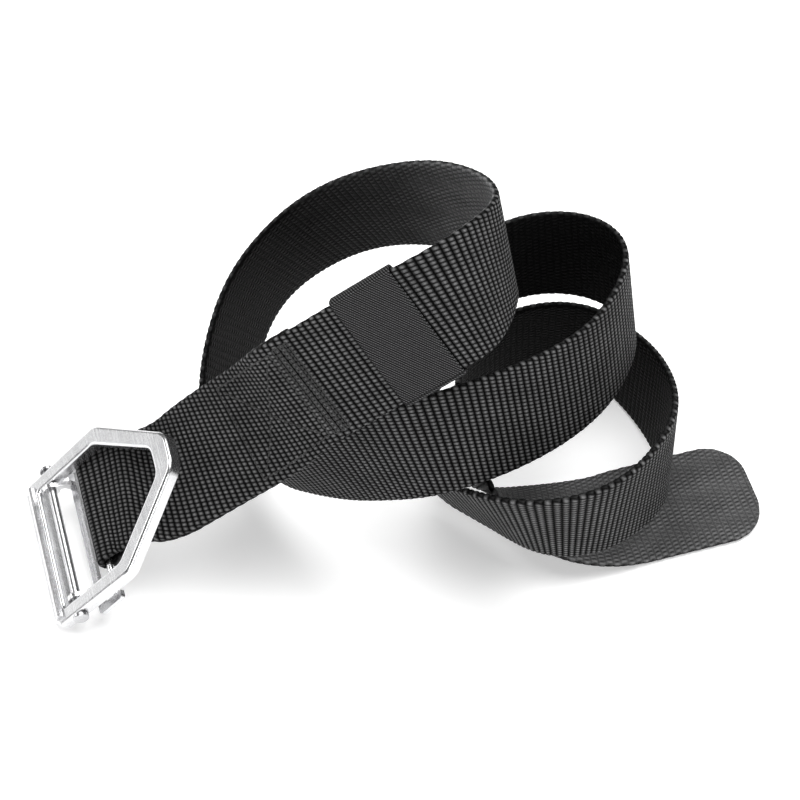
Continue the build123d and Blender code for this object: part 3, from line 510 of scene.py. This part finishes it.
def webbing_material():
    m, nt, bsdf = new_material("black_webbing")
    u, v, side = weave_coords(nt)
    u1 = math_node(nt, "DIVIDE", u, RIB)
    fu = math_node(nt, "FRACT", u1)
    par = math_node(nt, "MODULO", math_node(nt, "FLOOR", u1), 2.0)
    rib = math_node(nt, "POWER", math_node(nt, "ABSOLUTE", math_node(nt, "SINE", math_node(nt, "MULTIPLY", fu, math.pi))), 0.6)
    v1 = math_node(nt, "ADD", math_node(nt, "DIVIDE", v, BEAD), math_node(nt, "MULTIPLY", par, 0.5))
    v1 = math_node(nt, "ADD", v1, math_node(nt, "MULTIPLY", fu, 0.35))
    bead = math_node(nt, "POWER", math_node(nt, "ABSOLUTE", math_node(nt, "SINE", math_node(nt, "MULTIPLY", v1, math.pi))), 0.6)
    outer = math_node(nt, "MULTIPLY", rib, math_node(nt, "MULTIPLY_ADD", bead, 0.72, 0.28))
    # inner face: flatter plates with small pits between the yarns
    v2 = math_node(nt, "ADD", math_node(nt, "DIVIDE", v, 2.1), math_node(nt, "MULTIPLY", par, 0.5))
    cell = math_node(nt, "MULTIPLY", math_node(nt, "ABSOLUTE", math_node(nt, "SINE", math_node(nt, "MULTIPLY", v2, math.pi))), rib)
    dots = map_range(nt, cell, 0.50, 0.97, 0.97, 0.70)
    inner = math_node(nt, "MULTIPLY", dots, math_node(nt, "MULTIPLY_ADD", outer, 0.30, 0.68))
    sideq = map_range(nt, side, 0.2, 0.8, 0.0, 1.0)
    mixn = nt.nodes.new("ShaderNodeMix")
    nt.links.new(sideq, mixn.inputs["Factor"])
    fa = [i for i in mixn.inputs if i.name == "A" and i.type == "VALUE"][0]
    fb = [i for i in mixn.inputs if i.name == "B" and i.type == "VALUE"][0]
    nt.links.new(inner, fa)
    nt.links.new(outer, fb)
    height = [o for o in mixn.outputs if o.type == "VALUE"][0]
    fibre = noise(nt, combine(nt, math_node(nt, "MULTIPLY", u, 0.9), math_node(nt, "MULTIPLY", v, 7.0), side), 1.0, 4.0, 0.65)
    h2 = math_node(nt, "MULTIPLY_ADD", fibre, 0.22, height)
    wear = noise(nt, combine(nt, math_node(nt, "MULTIPLY", u, 0.05), math_node(nt, "MULTIPLY", v, 0.09), side), 1.0, 3.0, 0.6)
    lint = noise(nt, combine(nt, math_node(nt, "MULTIPLY", u, 1.7), math_node(nt, "MULTIPLY", v, 1.9), 3.0), 1.0, 2.0, 0.5)
    # Painted highlight and shade: the yarn tops get a light base colour and the crevices near black, standing in
    # for the sheen and shade on the black nylon.
    painted_sheen_top = math_node(nt, "POWER", height, 3.4)
    painted_sheen_top = math_node(nt, "MULTIPLY", painted_sheen_top, map_range(nt, fibre, 0.3, 0.7, 0.45, 1.35))
    # painted light and shade: a per-point factor that darkens or brightens the yarn tops by where the inner face
    # sits in the coil
    tn = nt.nodes.new("ShaderNodeAttribute")
    tn.attribute_name = "painted_shade_and_light"
    painted_sheen_top = math_node(nt, "MULTIPLY", painted_sheen_top, tn.outputs["Fac"])
    col = mix_colour(nt, painted_sheen_top, (0.0006, 0.0006, 0.0006), (YARN_TOP_PAINTED_SHEEN, YARN_TOP_PAINTED_SHEEN, YARN_TOP_PAINTED_SHEEN * 1.01))
    shade = math_node(nt, "MULTIPLY", map_range(nt, wear, 0.3, 0.7, 0.78, 1.2), map_range(nt, lint, 0.3, 0.75, 0.85, 1.18))
    vm = nt.nodes.new("ShaderNodeVectorMath")
    vm.operation = "SCALE"
    nt.links.new(col, vm.inputs[0])
    nt.links.new(shade, vm.inputs["Scale"])
    nt.links.new(vm.outputs[0], bsdf.inputs["Base Color"])
    nt.links.new(map_range(nt, height, 0.0, 1.0, 0.85, 0.44), bsdf.inputs["Roughness"])
    nt.links.new(bump(nt, h2, 0.0011, 1.0), bsdf.inputs["Normal"])
    bsdf.inputs["Specular IOR Level"].default_value = 0.05
    return m


# Base colour of the painted highlight on the yarn tops.
YARN_TOP_PAINTED_SHEEN = 0.155


def keeper_material():
    m, nt, bsdf = new_material("black_elastic_twill")
    u, v, side = weave_coords(nt)
    d = math_node(nt, "MULTIPLY_ADD", u, 0.62, v)
    tw = math_node(nt, "POWER", math_node(nt, "ABSOLUTE", math_node(nt, "SINE", math_node(nt, "MULTIPLY", d, math.pi / 1.15))), 0.7)
    x = math_node(nt, "POWER", math_node(nt, "ABSOLUTE", math_node(nt, "SINE", math_node(nt, "MULTIPLY", u, math.pi / 0.8))), 0.8)
    h = math_node(nt, "MULTIPLY", tw, math_node(nt, "MULTIPLY_ADD", x, 0.45, 0.55))
    f = noise(nt, combine(nt, math_node(nt, "MULTIPLY", u, 3.0), math_node(nt, "MULTIPLY", v, 3.0), side), 1.0, 4.0, 0.6)
    h2 = math_node(nt, "MULTIPLY_ADD", f, 0.4, h)
    # Painted highlight and shade: the twill crests get a light base colour and the grooves near black, standing in
    # for sheen on the black elastic.
    painted_sheen_top = math_node(nt, "MULTIPLY", math_node(nt, "POWER", h, 3.0), map_range(nt, f, 0.3, 0.7, 0.3, 1.5))
    nt.links.new(mix_colour(nt, painted_sheen_top, (0.0004, 0.0004, 0.0004), (0.11, 0.11, 0.112)), bsdf.inputs["Base Color"])
    nt.links.new(map_range(nt, h, 0.0, 1.0, 0.9, 0.6), bsdf.inputs["Roughness"])
    nt.links.new(bump(nt, h2, 0.00035, 1.0), bsdf.inputs["Normal"])
    bsdf.inputs["Specular IOR Level"].default_value = 0.05
    return m


def thread_material():
    m, nt, bsdf = new_material("black_thread")
    u, v, side = weave_coords(nt)
    tw = math_node(nt, "ABSOLUTE", math_node(nt, "SINE", math_node(nt, "ADD", math_node(nt, "MULTIPLY", u, math.pi / 0.45), v)))
    f = noise(nt, combine(nt, math_node(nt, "MULTIPLY", u, 6.0), v, 1.0), 1.0, 3.0, 0.6)
    # Painted highlight: the twist crests of the black thread get a lighter base colour, standing in for its sheen.
    nt.links.new(mix_colour(nt, math_node(nt, "MULTIPLY", tw, f), (0.001, 0.001, 0.001), (0.10, 0.10, 0.10)), bsdf.inputs["Base Color"])
    nt.links.new(map_range(nt, f, 0.3, 0.7, 0.4, 0.65), bsdf.inputs["Roughness"])
    nt.links.new(bump(nt, tw, 0.00010, 0.8), bsdf.inputs["Normal"])
    bsdf.inputs["Specular IOR Level"].default_value = 0.2
    return m


def steel_material(name, base, rough_lo, rough_hi, grain):
    m, nt, bsdf = new_material(name)
    tc = nt.nodes.new("ShaderNodeTexCoord")
    mp = nt.nodes.new("ShaderNodeVectorMath")
    mp.operation = "DOT_PRODUCT"
    ax = []
    for d in (BX, BY, BZ):
        q = nt.nodes.new("ShaderNodeVectorMath")
        q.operation = "DOT_PRODUCT"
        nt.links.new(tc.outputs["Object"], q.inputs[0])
        q.inputs[1].default_value = tuple(float(k) for k in d)
        ax.append(q.outputs["Value"])
    nt.nodes.remove(mp)
    brushed = noise(nt, combine(nt, math_node(nt, "MULTIPLY", ax[0], 2600.0), math_node(nt, "MULTIPLY", ax[1], 70.0), math_node(nt, "MULTIPLY", ax[2], 2600.0)), 1.0, 4.0, 0.6)
    cloud = noise(nt, combine(nt, *ax), 130.0, 4.0, 0.6)
    scratch = noise(nt, combine(nt, math_node(nt, "MULTIPLY", ax[0], 300.0), math_node(nt, "MULTIPLY", ax[1], 3800.0), math_node(nt, "MULTIPLY", ax[2], 300.0)), 1.0, 2.0, 0.5)
    marks = map_range(nt, scratch, 0.66, 0.74, 0.0, 1.0)
    dark = tuple(k * 0.86 for k in base)
    nt.links.new(mix_colour(nt, map_range(nt, cloud, 0.3, 0.7, 0.0, 1.0), dark, base), bsdf.inputs["Base Color"])
    r = math_node(nt, "ADD", map_range(nt, brushed, 0.25, 0.75, rough_lo, rough_hi), math_node(nt, "MULTIPLY", marks, 0.08))
    nt.links.new(r, bsdf.inputs["Roughness"])
    h = math_node(nt, "SUBTRACT", brushed, math_node(nt, "MULTIPLY", marks, 0.4))
    nt.links.new(bump(nt, h, grain, 0.16), bsdf.inputs["Normal"])
    bsdf.inputs["Metallic"].default_value = 1.0
    return m


# ------------------------------------------------------------------ pieces
web, elastic, thread = webbing_material(), keeper_material(), thread_material()

strap = build_strap()
strap.data.materials.append(web)
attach(strap, "strap")
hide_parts("webbing_strap")

keeper, loop_len = build_keeper()
keeper.data.materials.append(elastic)
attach(keeper, "keeper")
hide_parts("keeper_loop")

ko, kx, ky, kz = keeper_frame()
low = -(STRAP_T / 2 + KEEPER_GAP + KEEPER_T + 0.05)
corner = [(-4, -18), (4, -18), (4, 18), (-4, 18), (-4, -18)]
runs = []
for (xa, ya), (xb, yb) in zip(corner[:-1], corner[1:]):
    f = np.linspace(0, 1, 24)[:, None]
    pts = ko + kx * (xa + (xb - xa) * f) + ky * (ya + (yb - ya) * f) + kz * low
    runs.append((pts, np.repeat(-kz[None, :], 24, 0)))
kseam = stitch_mesh("keeper_thread", runs, 2.6, 2.2, 0.7, 0.42)
kseam.data.materials.append(thread)
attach(kseam, "keeper")
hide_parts("keeper_seam")

box = stitch_mesh("box_thread", [line(BOX_A, v, BOX_B, v) for v in (-V_BOX, V_BOX)]
                  + [line(s, -V_BOX, s, V_BOX) for s in (BOX_A + 0.05, BOX_B - 0.05)], 2.9, 2.5, 0.85, 0.62)
cross = stitch_mesh("cross_thread", [line(BOX_A + 0.3, -0.36 * q, BOX_B - 0.3, 0.36 * q) for q in (-1, 1)], 2.9, 2.5, 0.85, 0.62)
tack = stitch_mesh("tack_thread", [line(BOX_B + 0.18 + 0.11 * k, -0.43, BOX_B + 0.18 + 0.11 * k, 0.43) for k in range(7)]
                   + [line(BOX_B + 0.15, v, BOX_B + 0.9, v, count=12) for v in (-0.43, 0.43)], 2.2, 2.0, 0.8, 0.62)
for o, n in ((box, "box_stitch"), (cross, "cross_stitch"), (tack, "bar_tack")):
    o.data.materials.append(thread)
    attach(o, "strap")
    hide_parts(n)

steel = steel_material("satin_stainless", (0.74, 0.74, 0.75), 0.20, 0.30, 0.00003)
steel_pin = steel_material("pin_stainless", (0.52, 0.52, 0.53), 0.18, 0.34, 0.00003)
for n, mt in (("buckle_lever", steel), ("buckle_base", steel), ("pivot_pin", steel_pin)):
    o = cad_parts[n]
    o.data.materials.clear()
    o.data.materials.append(mt)

# ------------------------------------------------------------------ stage, light, camera
lo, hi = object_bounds()
centre = (lo + hi) / 2
fl = bpy.data.meshes.new("floor")
s = 3.0
z = min(lo.z, 0.0) - 0.0004
fl.from_pydata([(-s, -s, z), (s, -s, z), (s, s, z), (-s, s, z)], [], [(0, 1, 2, 3)])
floor = bpy.data.objects.new("floor", fl)
bpy.context.scene.collection.objects.link(floor)
fm, fnt, fb = new_material("pale_floor")
fb.inputs["Base Color"].default_value = (0.93, 0.93, 0.93, 1)
fb.inputs["Roughness"].default_value = 0.9
fb.inputs["Specular IOR Level"].default_value = 0.1
fb.inputs["Emission Color"].default_value = (1, 1, 1, 1)
fb.inputs["Emission Strength"].default_value = 0.30
fl.materials.append(fm)


def area(name, place, target, size, watts, size_y=None):
    d = bpy.data.lights.new(name, "AREA")
    d.energy = watts
    d.size = size
    if size_y:
        d.shape = "RECTANGLE"
        d.size_y = size_y
    o = bpy.data.objects.new(name, d)
    o.location = place
    o.rotation_mode = "QUATERNION"
    o.rotation_quaternion = (Vector(target) - Vector(place)).to_track_quat("-Z", "Y")
    bpy.context.scene.collection.objects.link(o)
    return o


area("soft_top", (0.15, 0.25, 1.7), (0, 0, 0), 1.7, 46)
area("soft_front", (0.45, -1.9, 0.62), (0, 0, 0.05), 0.9, 26)
area("soft_left", (-1.6, 0.25, 0.55), (-0.12, 0, 0.03), 0.7, 5, 0.5)

world = bpy.data.worlds.new("studio")
world.use_nodes = True
world.node_tree.nodes["Background"].inputs[0].default_value = (1, 1, 1, 1)
world.node_tree.nodes["Background"].inputs[1].default_value = 0.17
bpy.context.scene.world = world
bpy.context.scene.view_settings.view_transform = "Standard"

cam = bpy.data.cameras.new("camera")
cam.sensor_width = 36.0
cam.lens = 4041.6 / 800 * 36.0
cam.clip_start, cam.clip_end = 0.05, 20
co = bpy.data.objects.new("camera", cam)
co.location = (0.00278, -1.0286, 1.3677)
co.rotation_mode = "QUATERNION"
co.rotation_quaternion = Vector((0.0, 0.6200, -0.7846)).to_track_quat("-Z", "Y")
bpy.context.scene.collection.objects.link(co)
bpy.context.scene.camera = co
